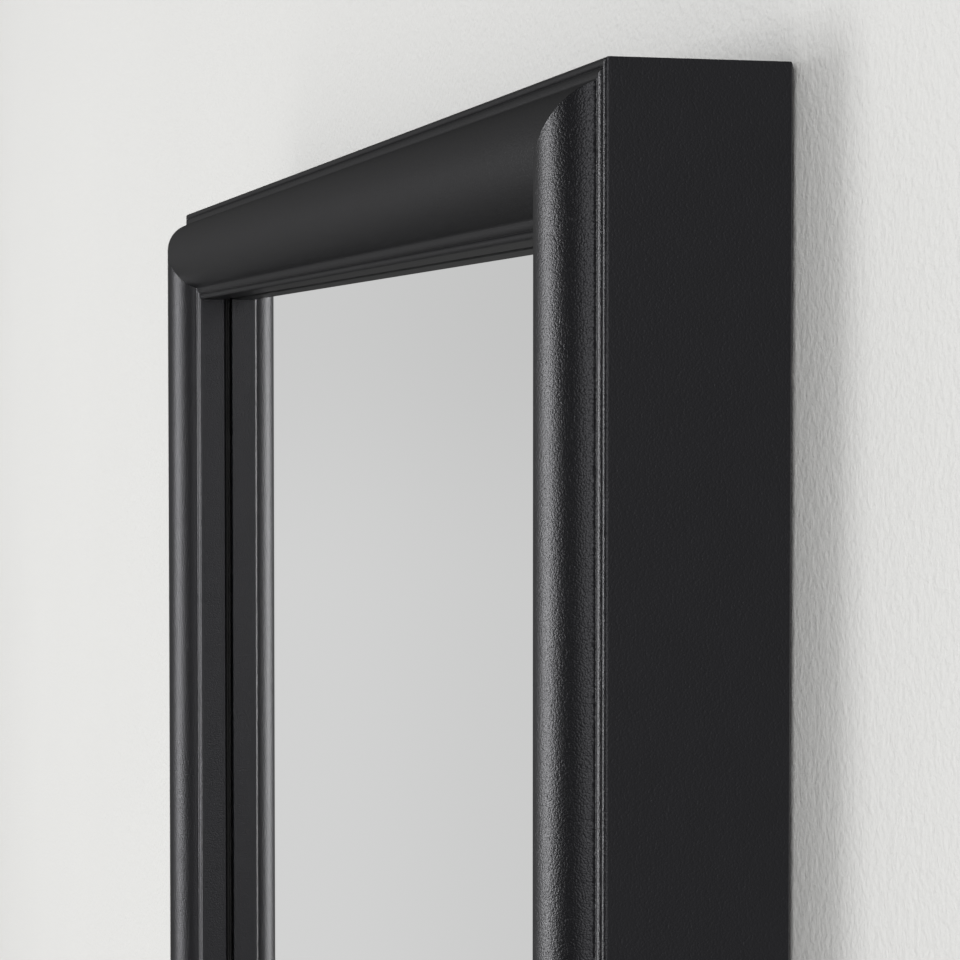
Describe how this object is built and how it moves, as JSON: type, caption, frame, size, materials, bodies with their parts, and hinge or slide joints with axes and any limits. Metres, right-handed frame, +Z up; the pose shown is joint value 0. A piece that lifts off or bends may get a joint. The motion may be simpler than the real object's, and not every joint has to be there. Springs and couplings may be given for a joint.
{
  "type": "framed wall mirror",
  "caption": "Tall mirror in a deep black mitred moulding with a half-round bead, hung flush on swinging rings in a rear recess.",
  "frame": {"origin": "midway between the two wall screws that carry the upright mirror, on the face of the wall, which is 250 mm below the top edge", "axes": "+X to the viewer's right, +Y from the viewer into the wall, +Z up"},
  "size_m": [0.52, 0.0475, 1.4],
  "materials": {
    "black_foil": "satin black foil with a fine leather grain over fibreboard",
    "mirror_silver": "silvered float glass, ground edge",
    "grey_film": "thin woven-backed safety film",
    "black_foam": "closed-cell foam tape",
    "pad_rubber": "matt rubber",
    "hardboard": "brown hardboard, smooth side out",
    "zinc_steel": "bright zinc plate",
    "nail_steel": "plain steel strip",
    "felt": "dark grey felt"
  },
  "bodies": {
    "frame": {"top_rail": "black_foil", "bottom_rail": "black_foil", "left_stile": "black_foil", "right_stile": "black_foil", "foam_strip_top": "black_foam", "edge_pad_top_1": "pad_rubber", "hanger_screw_top_1": "zinc_steel", "edge_pad_top_2": "pad_rubber", "hanger_screw_top_2": "zinc_steel", "hanger_strap_top": "zinc_steel", "foam_strip_bottom": "black_foam", "edge_pad_bottom_1": "pad_rubber", "hanger_screw_bottom_1": "zinc_steel", "edge_pad_bottom_2": "pad_rubber", "hanger_screw_bottom_2": "zinc_steel", "hanger_strap_bottom": "zinc_steel", "foam_strip_left": "black_foam", "edge_pad_left_1": "pad_rubber", "hanger_screw_left_1": "zinc_steel", "edge_pad_left_2": "pad_rubber", "hanger_screw_left_2": "zinc_steel", "hanger_strap_left": "zinc_steel", "foam_strip_right": "black_foam", "edge_pad_right_1": "pad_rubber", "hanger_screw_right_1": "zinc_steel", "edge_pad_right_2": "pad_rubber", "hanger_screw_right_2": "zinc_steel", "hanger_strap_right": "zinc_steel", "turn_button_screw_top": "zinc_steel", "turn_button_screw_bottom": "zinc_steel", "turn_button_screw_left_upper": "zinc_steel", "turn_button_screw_left_lower": "zinc_steel", "turn_button_screw_right_upper": "zinc_steel", "turn_button_screw_right_lower": "zinc_steel", "corner_nail_top_right_ledge": "nail_steel", "corner_nail_top_right_back": "nail_steel", "corner_nail_top_left_ledge": "nail_steel", "corner_nail_top_left_back": "nail_steel", "corner_nail_bottom_left_ledge": "nail_steel", "corner_nail_bottom_left_back": "nail_steel", "corner_nail_bottom_right_ledge": "nail_steel", "corner_nail_bottom_right_back": "nail_steel", "wall_pad_left_upper": "felt", "wall_pad_left_lower": "felt", "wall_pad_right_upper": "felt", "wall_pad_right_lower": "felt", "mirror_glass": "mirror_silver", "safety_film": "grey_film", "back_board": "hardboard"},
    "ring_top": {"hanger_ring_top": "zinc_steel"},
    "ring_bottom": {"hanger_ring_bottom": "zinc_steel"},
    "ring_left": {"hanger_ring_left": "zinc_steel"},
    "ring_right": {"hanger_ring_right": "zinc_steel"},
    "button_top": {"turn_button_top": "zinc_steel"},
    "button_bottom": {"turn_button_bottom": "zinc_steel"},
    "button_left_upper": {"turn_button_left_upper": "zinc_steel"},
    "button_left_lower": {"turn_button_left_lower": "zinc_steel"},
    "button_right_upper": {"turn_button_right_upper": "zinc_steel"},
    "button_right_lower": {"turn_button_right_lower": "zinc_steel"}
  },
  "joints": [
    {"name": "ring_swing_top", "type": "hinge", "parent": "frame", "child": "ring_top", "pos_m": [0.1185, -0.0186, 0.232], "axis": [0, 0, -1], "range_deg": [0, 180]},
    {"name": "ring_swing_bottom", "type": "hinge", "parent": "frame", "child": "ring_bottom", "pos_m": [0.1185, -0.0186, -1.132], "axis": [0, 0, -1], "range_deg": [0, 180]},
    {"name": "ring_swing_left", "type": "hinge", "parent": "frame", "child": "ring_left", "pos_m": [-0.242, -0.0186, -0.0115], "axis": [1, 0, 0], "range_deg": [0, 180]},
    {"name": "ring_swing_right", "type": "hinge", "parent": "frame", "child": "ring_right", "pos_m": [0.242, -0.0186, -0.0115], "axis": [1, 0, 0], "range_deg": [0, 180]},
    {"name": "button_turn_top", "type": "hinge", "parent": "frame", "child": "button_top", "pos_m": [0, -0.0211, 0.232], "axis": [0, 1, 0], "range_deg": [-105, 105]},
    {"name": "button_turn_bottom", "type": "hinge", "parent": "frame", "child": "button_bottom", "pos_m": [0, -0.0211, -1.132], "axis": [0, 1, 0], "range_deg": [-105, 105]},
    {"name": "button_turn_left_upper", "type": "hinge", "parent": "frame", "child": "button_left_upper", "pos_m": [-0.242, -0.0211, -0.1115], "axis": [0, 1, 0], "range_deg": [-105, 105]},
    {"name": "button_turn_left_lower", "type": "hinge", "parent": "frame", "child": "button_left_lower", "pos_m": [-0.242, -0.0211, -0.7885], "axis": [0, 1, 0], "range_deg": [-105, 105]},
    {"name": "button_turn_right_upper", "type": "hinge", "parent": "frame", "child": "button_right_upper", "pos_m": [0.242, -0.0211, -0.1115], "axis": [0, 1, 0], "range_deg": [-105, 105]},
    {"name": "button_turn_right_lower", "type": "hinge", "parent": "frame", "child": "button_right_lower", "pos_m": [0.242, -0.0211, -0.7885], "axis": [0, 1, 0], "range_deg": [-105, 105]}
  ]
}
